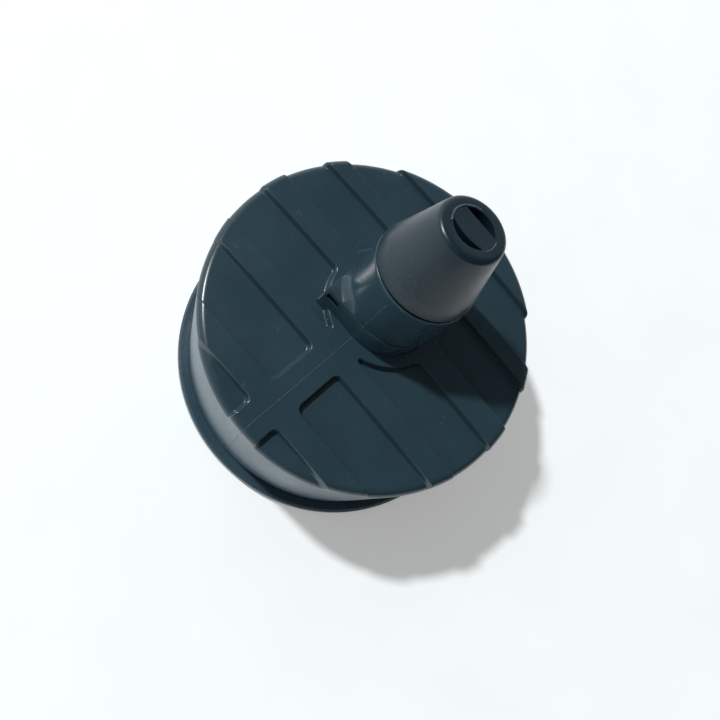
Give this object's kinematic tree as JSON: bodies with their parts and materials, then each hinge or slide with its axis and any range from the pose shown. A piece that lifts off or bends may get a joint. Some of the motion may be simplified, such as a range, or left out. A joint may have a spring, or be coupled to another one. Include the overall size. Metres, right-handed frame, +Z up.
{
  "type": "liquor pour spout",
  "caption": "Ribbed round cap that pushes over a bottle's neck, with a leaning cone nozzle that twists to shut off the flow and a vented air inlet at its foot.",
  "frame": {"origin": "centre of the flange's flat underside, on the surface the cap stands on", "axes": "+Z up through the cap; +Y along the raised spine, the way the nozzle leans; +X along the ribs of the face"},
  "size_m": [0.0428, 0.0428, 0.0399],
  "materials": {
    "moulded_cap": "satin",
    "moulded_nozzle": "fine spark-eroded texture",
    "inner_plastic": "satin",
    "soft_rubber": "matt",
    "ring_rubber": "matt",
    "spring_steel": "brushed",
    "ball_steel": "polished",
    "filter_fibre": "pressed fibre"
  },
  "bodies": {
    "cap": {"head_shell": "moulded_cap", "base_ring": "moulded_cap", "neck_sleeve": "soft_rubber", "grip_band": "spring_steel", "mouth_gasket": "soft_rubber", "core_plate": "inner_plastic", "plate_oring": "ring_rubber", "strainer_disc": "spring_steel", "strainer_ring": "inner_plastic", "breather_stub": "inner_plastic", "valve_cage": "inner_plastic", "duct_filter": "filter_fibre", "stem_oring_low": "ring_rubber", "stem_oring_high": "ring_rubber"},
    "nozzle": {"nozzle_cone": "moulded_nozzle", "nozzle_oring": "ring_rubber", "nozzle_clip": "spring_steel"},
    "ball": {"valve_ball": "ball_steel"}
  },
  "joints": [
    {"name": "nozzle_twist", "type": "hinge", "parent": "cap", "child": "nozzle", "pos_m": [0, 0.00383, 0.0302], "axis": [0, 0.225, 0.9744], "range_deg": [0, 90]},
    {"name": "ball_lift", "type": "slide", "parent": "cap", "child": "ball", "axis": [0, 0, 1], "range_m": [0, 0.0008]}
  ]
}
